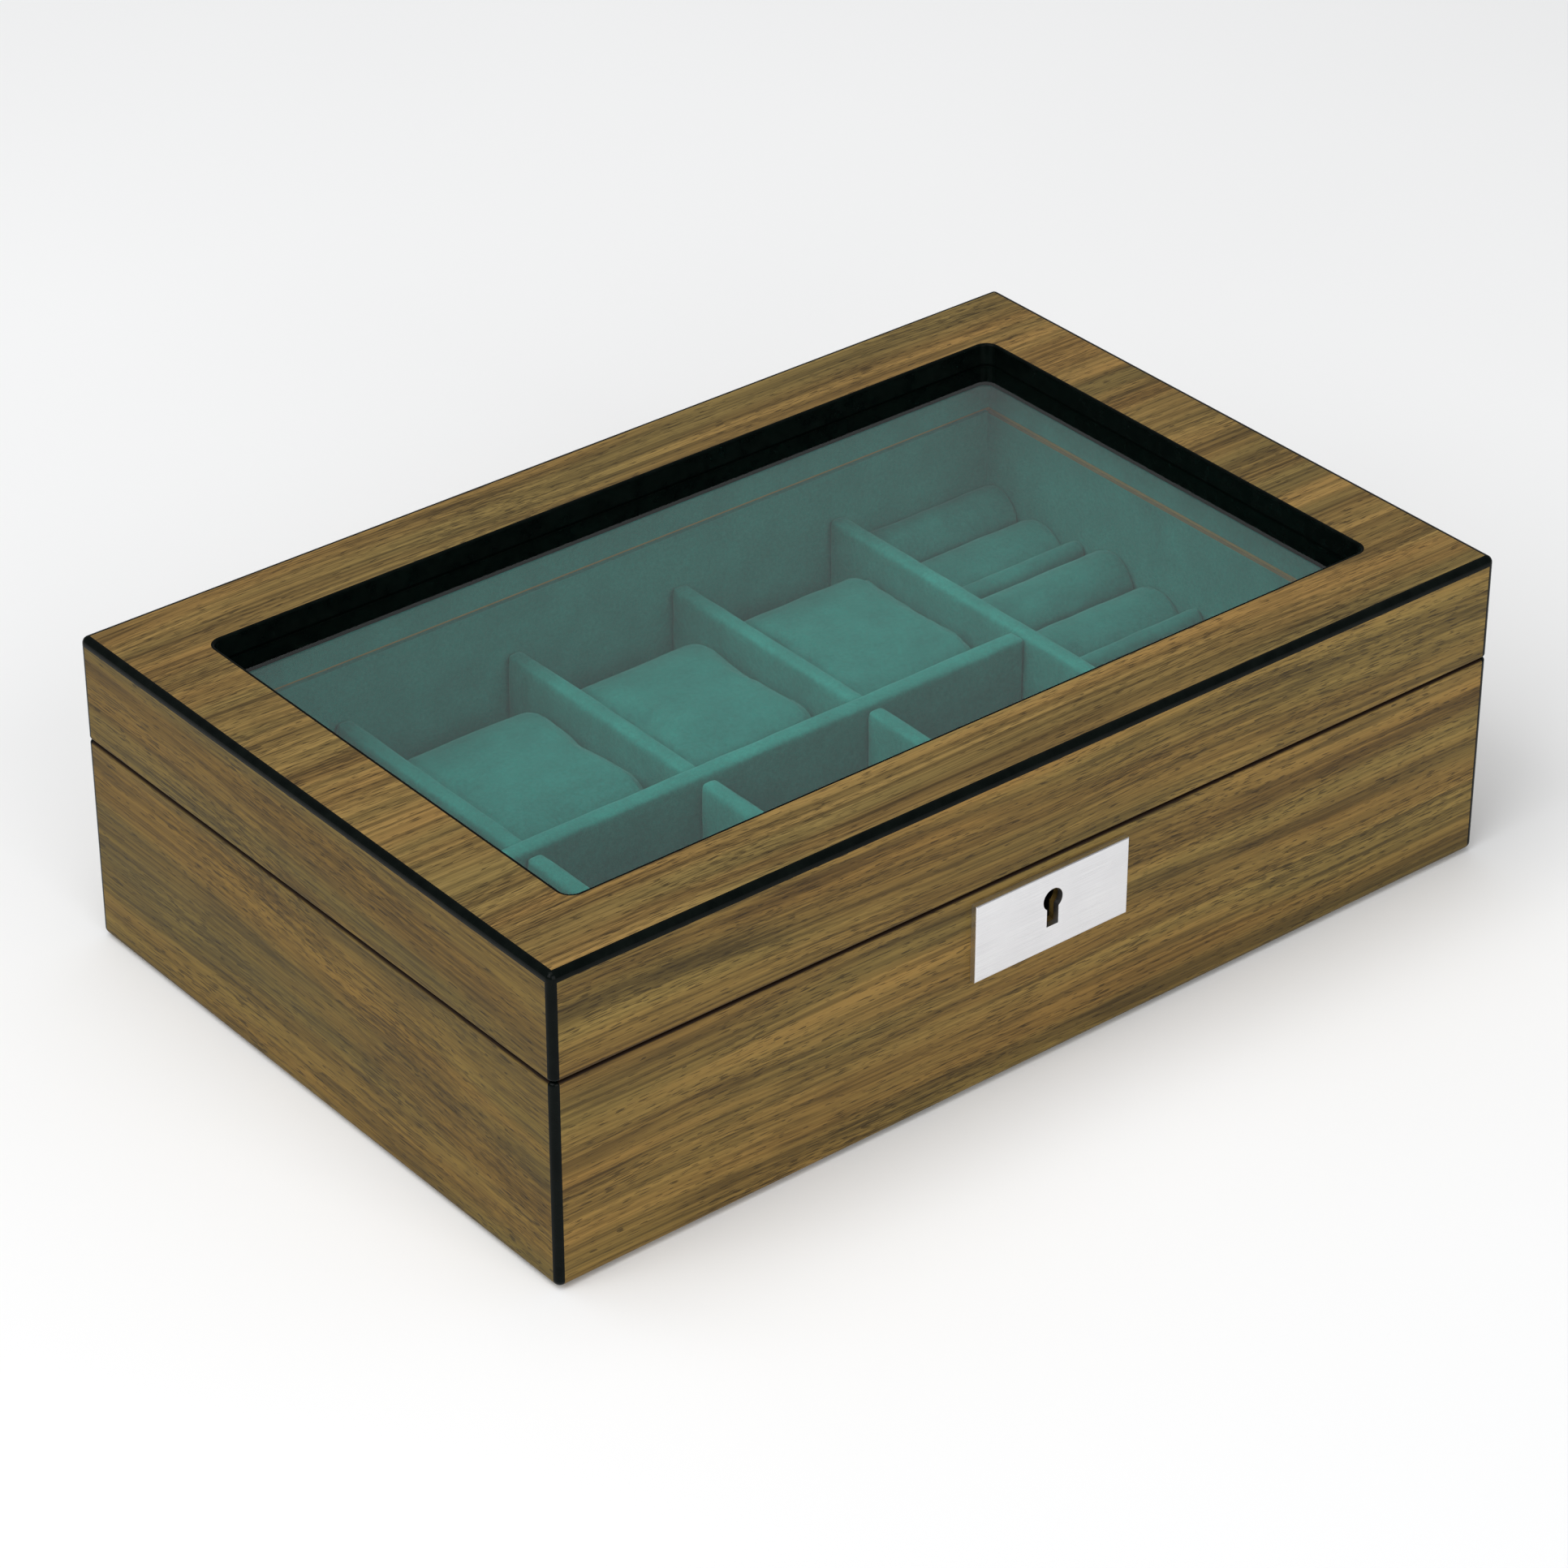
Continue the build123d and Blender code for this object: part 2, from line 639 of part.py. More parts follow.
BOLT_SIDE_PLAY = 1.5
BOLT_Y0 = CASE_IN_FRONT + BOLT_SIDE_PLAY
BOLT_Y1 = CAP_FRONT - BOLT_SIDE_PLAY
KEY_PIN_R = 1.2
with BuildPart() as cap:
    block(-CASE[0] / 2, CASE[0] / 2, CAP_FRONT, CASE_BACK, CASE_FOOT, BASE_RIM)
    with Locations(Location((0, CASE_BACK, KEY_Z), (90, 0, 0))):
        Cylinder(KEY_PIN_R, 2 * CASE_WALL, mode=Mode.SUBTRACT)
save(cap, "lock_cap")

# the post in the middle of the keyhole, which a hollow key slides over
with BuildPart() as key_pin:
    with Locations(Location((0, BOLT_Y0, KEY_Z), (-90, 0, 0))):
        Cylinder(KEY_PIN_R, CASE_BACK - BOLT_Y0, align=(MID, MID, MIN))
    chamfer(key_pin.faces().sort_by(Axis.Y)[0].edges(), KEY_PIN_R / 3)
save(key_pin, "lock_key_pin")

BOLT_TAIL_X = -17.0
BOLT_NECK_X = 4.0
BOLT_TIP_X = 9.6
BOLT_LOW = 56.4
BOLT_HIGH = 61.2
PRONG_HIGH = 60.5
TALON_HALF = 3.2
TALON_TOP = 59.9
with BuildPart() as bolt:
    block(BOLT_TAIL_X, BOLT_NECK_X, BOLT_Y0, BOLT_Y1, BOLT_LOW, BOLT_HIGH)
    block(BOLT_NECK_X, BOLT_TIP_X, BOLT_Y0, BOLT_Y1, BOLT_LOW, PRONG_HIGH)
    talon = -BOLT_TRAVEL / 2  # the notch that the key's bit pushes
    block(
        talon - TALON_HALF,
        talon + TALON_HALF,
        BOLT_Y0,
        BOLT_Y1,
        BOLT_LOW,
        TALON_TOP,
        mode=Mode.SUBTRACT,
    )
save(bolt, "lock_bolt")

STAPLE_FOOT = 54.2
STAPLE_SILL = 1.7
STAPLE_LEG = 0.7
STAPLE_HEAD_PLAY = 0.6
with BuildPart() as strike:
    strike_plate()
    block(
        STAPLE_X - STAPLE_T / 2,
        STAPLE_X + STAPLE_T / 2,
        STAPLE_Y0,
        STAPLE_Y1,
        STAPLE_FOOT,
        LID_RIM + LEAF,
    )
    block(
        STAPLE_X - STAPLE_T,
        STAPLE_X + STAPLE_T,
        STAPLE_Y0 + STAPLE_LEG,
        STAPLE_Y1 - STAPLE_LEG,
        STAPLE_FOOT + STAPLE_SILL,
        PRONG_HIGH + STAPLE_HEAD_PLAY,
        mode=Mode.SUBTRACT,
    )
    for x in (-STRIKE_SCREW_X, STRIKE_SCREW_X):
        screw(x, STRIKE_SCREW_Y, LID_RIM, False, mode=Mode.SUBTRACT)
save(strike, "lid_strike")

with BuildPart() as strike_screws:
    for x in (-STRIKE_SCREW_X, STRIKE_SCREW_X):
        screw(x, STRIKE_SCREW_Y, LID_RIM, False)
save(strike_screws, "strike_screws")
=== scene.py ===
import math

import bmesh
import bpy
import numpy as np
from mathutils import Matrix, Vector, noise as field


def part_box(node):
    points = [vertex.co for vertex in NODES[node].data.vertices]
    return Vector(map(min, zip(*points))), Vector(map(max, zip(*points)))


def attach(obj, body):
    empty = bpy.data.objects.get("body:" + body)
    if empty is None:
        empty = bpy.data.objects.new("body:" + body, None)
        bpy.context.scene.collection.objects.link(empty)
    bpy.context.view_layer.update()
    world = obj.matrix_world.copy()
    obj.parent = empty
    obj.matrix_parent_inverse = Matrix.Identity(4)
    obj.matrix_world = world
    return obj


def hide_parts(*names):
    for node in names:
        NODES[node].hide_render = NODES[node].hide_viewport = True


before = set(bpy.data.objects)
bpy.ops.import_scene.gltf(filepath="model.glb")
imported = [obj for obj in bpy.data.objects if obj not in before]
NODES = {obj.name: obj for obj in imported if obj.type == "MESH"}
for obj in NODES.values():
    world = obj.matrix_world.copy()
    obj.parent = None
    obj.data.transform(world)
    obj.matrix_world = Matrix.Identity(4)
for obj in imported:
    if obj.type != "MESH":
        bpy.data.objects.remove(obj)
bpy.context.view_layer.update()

# ---------- places and sizes, in metres ----------
MM = 0.001
CAMERA_AZIMUTH = -39.139
CAMERA_ELEVATION = 32.194
CAMERA_DISTANCE = 1.4407
CAMERA_TARGET_HEIGHT = 0.04267
CAMERA_SHIFT_RIGHT = -0.00329
CAMERA_SHIFT_UP = -0.00654
CAMERA_LENS = 121.56

PILLOW_VOXEL = 2.0 * MM
PILLOW_INSET = 1.9 * MM
PILLOW_FOOT_SHARE = 0.75  # of the inset, at the top and bottom
PILLOW_PRESSURE = 4.0
PILLOW_SWELL = 2.2 * MM
PILLOW_RIPPLE = (16 * MM, 0.45 * MM)  # size and height of the swells

PAD_VOXEL = 1.3 * MM
PAD_END_INSET = 0.25 * MM
PAD_FOOT_SHARE = 0.6
PAD_PRESSURE = 3.0
PAD_FRAMES = 14
PAD_RIPPLE = (11 * MM, 0.22 * MM)

BOARD_VOXEL = 1.3 * MM
BOARD_INSET = (0.12 * MM, 0.12 * MM, 0.1 * MM)
BOARD_RIPPLE = (12 * MM, 0.22 * MM)

SEAM_INSET = 3.2 * MM
SEAM_DEPTH = 0.55 * MM
SEAM_WIDTH = 0.9 * MM

JOINT_SHADE_FULL = 0.45 * MM  # painted shade of the gap at the joint: full within this height,
JOINT_SHADE_END = 1.0 * MM  # gone beyond this one,
JOINT_SHADE_WIDTH = 1.4 * MM  # and this far in from the outside
BARE_HEIGHT = 1.3 * MM
WALL_MARGIN = 0.7 * MM
CUT_EDGE = 0.1 * MM

TEAL_DARK = (0.0070, 0.078, 0.068, 1.0)
TEAL = (0.0110, 0.118, 0.102, 1.0)
TEAL_LIGHT = (0.0180, 0.165, 0.143, 1.0)
SHEEN_TEAL = (0.42, 0.85, 0.80, 1.0)


# ---------- node helpers ----------
def node(tree, kind, inputs=None, **props):
    """A shader node; an input that is a socket is linked, any other is its value."""
    made = tree.nodes.new(kind)
    for key, value in props.items():
        setattr(made, key, value)
    for key, value in (inputs or {}).items():
        if isinstance(value, bpy.types.NodeSocket):
            tree.links.new(value, made.inputs[key])
        else:
            made.inputs[key].default_value = value
    return made


def material(name):
    made = bpy.data.materials.new(name)
    made.use_nodes = True
    return made, made.node_tree, made.node_tree.nodes["Principled BSDF"]


def place(tree):
    """The object's own coordinates, which are the frame's."""
    return node(tree, "ShaderNodeTexCoord").outputs["Object"]


def noise(tree, where, lengths, seed, detail=2.0, roughness=0.5):
    """Noise whose cells measure about lengths along X, Y and Z."""
    inputs = {
        "Vector": where,
        "Location": (seed * 7.31, seed * 3.17, seed * 5.73),
        "Scale": tuple(1 / length for length in lengths),
    }
    mapped = node(tree, "ShaderNodeMapping", inputs).outputs["Vector"]
    inputs = {"Vector": mapped, "Scale": 1.0, "Detail": detail, "Roughness": roughness}
    return node(tree, "ShaderNodeTexNoise", inputs).outputs["Fac"]


def maths(tree, operation, *values):
    made = node(tree, "ShaderNodeMath", operation=operation)
    for i, value in enumerate(values):
        if isinstance(value, bpy.types.NodeSocket):
            tree.links.new(value, made.inputs[i])
        else:
            made.inputs[i].default_value = value
    return made.outputs[0]


def blend_of(tree, *parts):
    """The sum of (socket, weight) pairs."""
    total = None
    for socket, weight in parts:
        share = maths(tree, "MULTIPLY", socket, weight)
        total = share if total is None else maths(tree, "ADD", total, share)
    return total


def ramp(tree, factor, stops):
    made = node(tree, "ShaderNodeValToRGB", {"Fac": factor})
    band = made.color_ramp
    while len(band.elements) < len(stops):
        band.elements.new(0.5)
    for element, (position, colour) in zip(band.elements, stops):
        element.position = position
        element.color = colour
    return made.outputs["Color"]


def grey(value):
    return (value, value, value, 1.0)


def mix(tree, factor, a, b, mode="MIX"):
    made = node(tree, "ShaderNodeMix", data_type="RGBA", blend_type=mode)
    for index, value in ((0, factor), (6, a), (7, b)):
        if isinstance(value, bpy.types.NodeSocket):
            tree.links.new(value, made.inputs[index])
        else:
            made.inputs[index].default_value = value
    return made.outputs[2]


def bump(tree, shader, height, distance, strength=1.0):
    inputs = {"Height": height, "Distance": distance, "Strength": strength}
    made = node(tree, "ShaderNodeBump", inputs)
    tree.links.new(made.outputs["Normal"], shader.inputs["Normal"])


def link(tree, socket, shader, name):
    tree.links.new(socket, shader.inputs[name])


# ---------- wood ----------
VENEER = (
    (0.24, (0.050, 0.033, 0.010, 1)),
    (0.40, (0.098, 0.066, 0.019, 1)),
    (0.54, (0.160, 0.108, 0.030, 1)),
    (0.70, (0.245, 0.164, 0.046, 1)),
)
GREENER = (0.94, 1.02, 0.98, 1)
REDDER = (1.06, 0.98, 0.90, 1)
PORE_COLOUR = (0.018, 0.012, 0.005, 1)
# Painted shade: dark brown that stands in for the shadow in the narrow gap at the lid's joint.
SEAM_PAINTED_SHADE = (0.013, 0.006, 0.003, 1)
BARE_WOOD = (0.27, 0.19, 0.075, 1)
CARD_EDGE = (0.17, 0.125, 0.050, 1)

# Cells of the grain's noises, in metres: length along the grain and width across it.
BAND = (0.60, 0.0095)
BROAD_LINE = (0.320, 0.0020)
THIN_LINE = (0.180, 0.00080)
FIBRE = (0.032, 0.00034)
FIGURE = (0.016, 0.060)
HUE_PATCH = (0.16, 0.012)
PORE = (0.0042, 0.00030)
PORE_CROWD = (0.045, 0.010)
WANDER_CELL = (0.15, 0.045)
WANDER = 0.010
VENEER_BUMP = 0.05 * MM


def grain(tree, where, cell, seed, **settings):
    """Noise stretched along the grain, which is the first axis."""
    length, width = cell
    return noise(tree, where, (length, width, width), seed, **settings)


def grain_place(tree, along, tilt):
    """Coordinates whose first axis runs with the grain, which wanders and tilts a little."""
    split = node(tree, "ShaderNodeSeparateXYZ", {"Vector": place(tree)}).outputs
    first, second = ("X", "Y") if along == "X" else ("Y", "X")
    run, side, up = split[first], split[second], split["Z"]
    joined = node(tree, "ShaderNodeCombineXYZ", {"X": run, "Y": side, "Z": up}).outputs[0]
    wander = grain(tree, joined, WANDER_CELL, 4.4, detail=1.0)
    offset = maths(tree, "MULTIPLY", maths(tree, "SUBTRACT", wander, 0.5), WANDER)
    offset = maths(tree, "ADD", offset, maths(tree, "MULTIPLY", run, tilt))
    inputs = {
        "X": run,
        "Y": maths(tree, "ADD", side, offset),
        "Z": maths(tree, "ADD", up, offset),
    }
    return node(tree, "ShaderNodeCombineXYZ", inputs).outputs[0]


def off_centre(tree, value, limit, operation):
    """Compares a coordinate's distance from the middle with a limit."""
    return maths(tree, operation, maths(tree, "ABSOLUTE", value), limit)


def seam_masks(tree):
    """Two masks near the joint: painted shade on the outer edges, and the bare inner rim."""
    split = node(tree, "ShaderNodeSeparateXYZ", {"Vector": place(tree)}).outputs
    seam = (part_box("base_front_wall")[1].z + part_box("lid_front_wall")[0].z) / 2
    off_seam = maths(tree, "ABSOLUTE", maths(tree, "SUBTRACT", split["Z"], seam))

    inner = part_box("base_floor")[1]
    inside_x = off_centre(tree, split["X"], inner.x + WALL_MARGIN, "LESS_THAN")
    inside_y = off_centre(tree, split["Y"], inner.y + WALL_MARGIN, "LESS_THAN")
    inside = maths(tree, "MULTIPLY", inside_x, inside_y)
    bare = maths(tree, "MULTIPLY", maths(tree, "LESS_THAN", off_seam, BARE_HEIGHT), inside)

    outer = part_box("base_corner_beads")[1]
    edge_x = off_centre(tree, split["X"], outer.x - JOINT_SHADE_WIDTH, "GREATER_THAN")
    edge_y = off_centre(tree, split["Y"], outer.y - JOINT_SHADE_WIDTH, "GREATER_THAN")
    outside = maths(tree, "MAXIMUM", edge_x, edge_y)
    limits = {"Value": off_seam, 1: JOINT_SHADE_FULL, 2: JOINT_SHADE_END, 3: 1.0, 4: 0.0}
    fade = node(tree, "ShaderNodeMapRange", limits).outputs[0]
    return maths(tree, "MULTIPLY", fade, outside), bare


def grain_lines(tree, where, cell, seed, low, high):
    """0 inside the dark lines of the grain and 1 between them."""
    raw = grain(tree, where, cell, seed, detail=2.0, roughness=0.55)
    return ramp(tree, raw, ((low, grey(0)), (high, grey(1))))


def open_pores(tree, where, seed):
    """Short dark flecks along the grain, in crowds."""
    specks = grain(tree, where, PORE, seed, detail=0.0)
    crowd = grain(tree, where, PORE_CROWD, seed + 1, detail=1.0)
    both = maths(tree, "ADD", specks, maths(tree, "MULTIPLY", crowd, 0.40))
    return ramp(tree, both, ((0.835, grey(0)), (0.885, grey(1))))


def veneer(name, along, seed, face_light_tint, tilt=0.0, calm=1.0):
    """Lacquered walnut: wide bands, long dark lines, fine fibres and open pores.

    A calm below 1 weakens the bands and the broad lines. The colour factor of each face is painted
    light: it makes the top lighter and bluer and the left side darker and yellower, for how light
    falls on each face.
    """
    made, tree, shader = material(name)
    where = grain_place(tree, along, tilt)
    bands = grain(tree, where, BAND, seed, detail=2.0)
    broad = grain_lines(tree, where, BROAD_LINE, seed + 1, 0.36, 0.54)
    thin = grain_lines(tree, where, THIN_LINE, seed + 2, 0.34, 0.58)
    fibres = grain(tree, where, FIBRE, seed + 3, detail=1.0)
    figure = grain(tree, where, FIGURE, seed + 4, detail=1.0)
    strong = ((bands, 0.55 * calm), (broad, 0.15 * calm))
    fine = ((thin, 0.15), (fibres, 0.26), (figure, 0.08))
    level = 0.150 - 0.40 * (1 - calm)
    tone = maths(tree, "SUBTRACT", blend_of(tree, *strong, *fine), level)
    colour = ramp(tree, tone, VENEER)

    patch = grain(tree, where, HUE_PATCH, seed + 5, detail=1.0)
    hue = ramp(tree, patch, ((0.36, GREENER), (0.64, REDDER)))
    colour = mix(tree, 1.0, colour, hue, "MULTIPLY")
    pores = open_pores(tree, where, seed + 6)
    colour = mix(tree, maths(tree, "MULTIPLY", pores, 0.65), colour, PORE_COLOUR)
    # painted light: lightens or darkens the whole face for how light falls on it
    colour = mix(tree, 1.0, colour, (*face_light_tint, 1), "MULTIPLY")
    joint_shade, bare = seam_masks(tree)
    # painted shade: darkens the outer edges next to the joint, where the gap's shadow falls
    colour = mix(tree, joint_shade, colour, SEAM_PAINTED_SHADE)
    colour = mix(tree, bare, colour, BARE_WOOD)
    link(tree, colour, shader, "Base Color")

    gloss = blend_of(tree, (fibres, 0.16), (patch, 0.14))
    link(tree, maths(tree, "ADD", gloss, 0.34), shader, "Roughness")
    shader.inputs["Specular IOR Level"].default_value = 0.14
    height = blend_of(tree, (fibres, 0.5), (broad, 0.25), (thin, 0.25), (pores, -0.6))
    bump(tree, shader, height, VENEER_BUMP, 0.55)
    return made


def plywood():
    made, tree, shader = material("raw_plywood")
    where = grain_place(tree, "X", 0.0)
    rings = grain(tree, where, (0.12, 0.010), 31, detail=3.0)
    fibres = grain(tree, where, (0.02, 0.0007), 32)
    tone = blend_of(tree, (rings, 0.6), (fibres, 0.4))
    stops = ((0.35, (0.40, 0.26, 0.13, 1)), (0.65, (0.64, 0.47, 0.28, 1)))
    link(tree, ramp(tree, tone, stops), shader, "Base Color")
    shader.inputs["Roughness"].default_value = 0.75
    bump(tree, shader, fibres, 0.1 * MM)
    return made


# ---------- lacquer, metal, rubber, glass ----------
def black_lacquer(name, specular):
    """Polished black edging with faint waves and rubbed spots."""
    made, tree, shader = material(name)
    waves = noise(tree, place(tree), (0.022, 0.022, 0.022), 41, detail=2.0)
    rubs = noise(tree, place(tree), (0.004, 0.004, 0.004), 42, detail=4.0, roughness=0.6)
    stops = ((0.35, (0.0008, 0.0020, 0.0016, 1)), (0.70, (0.0024, 0.0042, 0.0034, 1)))
    link(tree, ramp(tree, rubs, stops), shader, "Base Color")
    gloss = ramp(tree, rubs, ((0.40, grey(0.12)), (0.72, grey(0.22))))
    link(tree, gloss, shader, "Roughness")
    shader.inputs["Specular IOR Level"].default_value = specular
    bump(tree, shader, waves, 0.06 * MM, 0.30)
    return made


def satin_steel():
    """Nickel-plated plate, finely brushed along its length."""
    made, tree, shader = material("satin_nickel")
    brushed = noise(tree, place(tree), (0.020, 0.00016, 0.00016), 51, detail=2.0)
    cloud = noise(tree, place(tree), (0.012, 0.012, 0.012), 52, detail=2.0)
    stops = ((0.30, (0.70, 0.70, 0.72, 1)), (0.70, (0.86, 0.86, 0.87, 1)))
    tone = blend_of(tree, (brushed, 0.7), (cloud, 0.3))
    link(tree, ramp(tree, tone, stops), shader, "Base Color")
    shader.inputs["Metallic"].default_value = 1.0
    link(tree, ramp(tree, brushed, ((0.3, grey(0.26)), (0.7, grey(0.40)))), shader, "Roughness")
    bump(tree, shader, brushed, 0.010 * MM, 0.6)
    return made


def brass():
    """Polished brass with hairline scratches and a little tarnish."""
    made, tree, shader = material("worn_brass")
    scratch = noise(tree, place(tree), (0.006, 0.00025, 0.0012), 61, detail=2.0)
    tarnish = noise(tree, place(tree), (0.003, 0.003, 0.003), 62, detail=3.0)
    stops = ((0.30, (0.60, 0.41, 0.17, 1)), (0.62, (0.76, 0.55, 0.25, 1)))
    link(tree, ramp(tree, tarnish, stops), shader, "Base Color")
    shader.inputs["Metallic"].default_value = 1.0
    tone = blend_of(tree, (scratch, 0.5), (tarnish, 0.5))
    link(tree, ramp(tree, tone, ((0.35, grey(0.34)), (0.65, grey(0.24)))), shader, "Roughness")
    bump(tree, shader, scratch, 0.02 * MM, 0.5)
    return made


def dark_steel():
    """Blackened steel inside the lock, dull and a little oily."""
    made, tree, shader = material("dark_lock_steel")
    cloud = noise(tree, place(tree), (0.004, 0.004, 0.004), 65, detail=3.0)
    stops = ((0.3, (0.020, 0.020, 0.021, 1)), (0.7, (0.045, 0.044, 0.043, 1)))
    link(tree, ramp(tree, cloud, stops), shader, "Base Color")
    shader.inputs["Metallic"].default_value = 1.0
    link(tree, ramp(tree, cloud, ((0.3, grey(0.35)), (0.7, grey(0.55)))), shader, "Roughness")
    bump(tree, shader, cloud, 0.03 * MM, 0.5)
    return made


def rubber():
    made, tree, shader = material("bumper_rubber")
    grain = noise(tree, place(tree), (0.0003, 0.0003, 0.0003), 71)
    stops = ((0.3, (0.010, 0.010, 0.011, 1)), (0.7, (0.022, 0.022, 0.023, 1)))
    link(tree, ramp(tree, grain, stops), shader, "Base Color")
    shader.inputs["Roughness"].default_value = 0.7
    bump(tree, shader, grain, 0.05 * MM)
    return made


def felt():
    made, tree, shader = material("black_felt")
    fuzz = noise(tree, place(tree), (0.0006, 0.0006, 0.0006), 81, detail=4.0, roughness=0.7)
    mottle = noise(tree, place(tree), (0.008, 0.008, 0.008), 82, detail=2.0)
    tone = blend_of(tree, (fuzz, 0.7), (mottle, 0.3))
    stops = ((0.3, (0.006, 0.006, 0.007, 1)), (0.7, (0.030, 0.030, 0.032, 1)))
    link(tree, ramp(tree, tone, stops), shader, "Base Color")
    shader.inputs["Roughness"].default_value = 0.95
    shader.inputs["Sheen Weight"].default_value = 0.3
    bump(tree, shader, fuzz, 0.4 * MM)
    return made


def glass():
    """Polished clear glass with a slight green cast; lamps shine straight through."""
    made, tree, shader = material("window_glass")
    faint = noise(tree, place(tree), (0.03, 0.03, 0.03), 91, detail=2.0)
    stops = ((0.3, (0.93, 0.985, 0.965, 1)), (0.7, (0.95, 0.990, 0.975, 1)))
    link(tree, ramp(tree, faint, stops), shader, "Base Color")
    link(tree, ramp(tree, faint, ((0.3, grey(0.0)), (0.7, grey(0.004)))), shader, "Roughness")
    shader.inputs["Transmission Weight"].default_value = 1.0
    shader.inputs["IOR"].default_value = 1.5
    clear = node(tree, "ShaderNodeBsdfTransparent", {"Color": (0.88, 0.95, 0.93, 1)})
    lamps = node(tree, "ShaderNodeLightPath").outputs["Is Shadow Ray"]
    both = node(tree, "ShaderNodeMixShader", {0: lamps, 1: shader.outputs[0], 2: clear.outputs[0]})
    tree.links.new(both.outputs[0], tree.nodes["Material Output"].inputs["Surface"])
    return made


# ---------- suede ----------
def suede(name, seed, painted_light_gain=1.0, patch=0.013, edge_z=None):
    """Short-napped cloth: brushed light and dark patches over a fine fibre.

    Above edge_z the cut edge of the card shows. The brightness factor is painted light: it makes
    each copy of the same cloth lighter for the shade it lies in.
    """
    made, tree, shader = material(name)
    where = place(tree)
    patches = noise(tree, where, (patch, patch, patch), seed, detail=3.0, roughness=0.55)
    strokes = noise(tree, where, (0.022, 0.0045, 0.012), seed + 1, detail=2.0)
    fibre = noise(tree, where, (0.00032, 0.00032, 0.00032), seed + 2, detail=2.0)
    tufts = noise(tree, where, (0.0011, 0.0011, 0.0011), seed + 3, detail=2.0)
    tone = blend_of(tree, (patches, 0.30), (strokes, 0.12), (fibre, 0.30), (tufts, 0.28))
    stops = ((0.32, TEAL_DARK), (0.50, TEAL), (0.68, TEAL_LIGHT))
    # painted light: scales the cloth's colour, so the copies in shade are made lighter
    colour = mix(tree, 1.0, ramp(tree, tone, stops), grey(painted_light_gain), "MULTIPLY")
    if edge_z is not None:
        level = node(tree, "ShaderNodeSeparateXYZ", {"Vector": where}).outputs["Z"]
        cut_edge = maths(tree, "GREATER_THAN", level, edge_z)
        colour = mix(tree, cut_edge, colour, CARD_EDGE)
    link(tree, colour, shader, "Base Color")
    shader.inputs["Roughness"].default_value = 0.92
    shader.inputs["Specular IOR Level"].default_value = 0.25
    shader.inputs["Sheen Weight"].default_value = 0.16
    shader.inputs["Sheen Roughness"].default_value = 0.45
    shader.inputs["Sheen Tint"].default_value = SHEEN_TEAL
    height = blend_of(tree, (fibre, 0.5), (tufts, 0.5))
    bump(tree, shader, height, 0.12 * MM, 0.7)
    return made


RIGHT_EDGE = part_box("base_right_liner")[1].z - CUT_EDGE
# Painted light: these copies are one suede. The lining of the shaded walls and dividers is made
# lightest, and the edged liner next, to stand in for light their shade keeps off.
SUEDE_LINING = suede("lining_suede_cloth", 11, painted_light_gain=1.36)
SUEDE_EDGED = suede("edged_suede_cloth", 12, painted_light_gain=1.26, edge_z=RIGHT_EDGE)
SUEDE_PAD = suede("pad_suede_cloth", 15, painted_light_gain=1.14, patch=0.010)
SUEDE_PILLOW = suede("pillow_suede_cloth", 19, painted_light_gain=1.16, patch=0.011)
# Painted light: every face is the same walnut. Its colour factor makes it lighter on the top,
# front and back and darker on the left, for how light falls on it.
WOOD_TOP = veneer("veneer_top", "X", 3.0, (1.29, 1.22, 1.42), tilt=0.012)
WOOD_FRONT = veneer("veneer_front", "X", 23.0, (1.13, 1.04, 1.02), tilt=0.018)
WOOD_BACK = veneer("veneer_back", "X", 29.0, (1.10, 1.04, 1.02), tilt=-0.01)
WOOD_LEFT = veneer("veneer_left", "Y", 37.0, (0.90, 0.84, 0.62), tilt=-0.03, calm=0.75)
WOOD_RIGHT = veneer("veneer_right", "Y", 43.0, (1.02, 0.96, 0.86), tilt=0.02, calm=0.85)
LACQUER = black_lacquer("edge_lacquer", 0.07)
INNER_LACQUER = black_lacquer("window_lacquer", 0.035)
BRASS = brass()
LOCK_STEEL = dark_steel()

FINISHES = {
    "lid_top_panel": WOOD_TOP,
    "base_front_wall": WOOD_FRONT,
    "lid_front_wall": WOOD_FRONT,
    "base_back_wall": WOOD_BACK,
    "lid_back_wall": WOOD_BACK,
    "base_left_wall": WOOD_LEFT,
    "lid_left_wall": WOOD_LEFT,
    "base_right_wall": WOOD_RIGHT,
    "lid_right_wall": WOOD_RIGHT,
    "base_corner_beads": LACQUER,
    "lid_corner_beads": LACQUER,
    "lid_top_beads": LACQUER,
    "window_trim": INNER_LACQUER,
    "glass_retainer": INNER_LACQUER,
    "base_right_liner": SUEDE_EDGED,
    "base_pad": felt(),
    "base_floor": plywood(),
    "glass_pane": glass(),
    "lock_escutcheon": satin_steel(),
    "rim_bumpers": rubber(),
    "lock_case": LOCK_STEEL,
    "lock_cap": LOCK_STEEL,
    "lock_bolt": LOCK_STEEL,
    "lock_key_pin": LOCK_STEEL,
}
BRASS_NAMES = ("hinge_", "lid_strike", "strike_")


def finish_nodes():
    """Gives every CAD node its material."""
    for name, obj in NODES.items():
        made = FINISHES.get(name)
        if made is None:
            made = BRASS if name.startswith(BRASS_NAMES) else SUEDE_LINING
        obj.data.materials.clear()
        obj.data.materials.append(made)


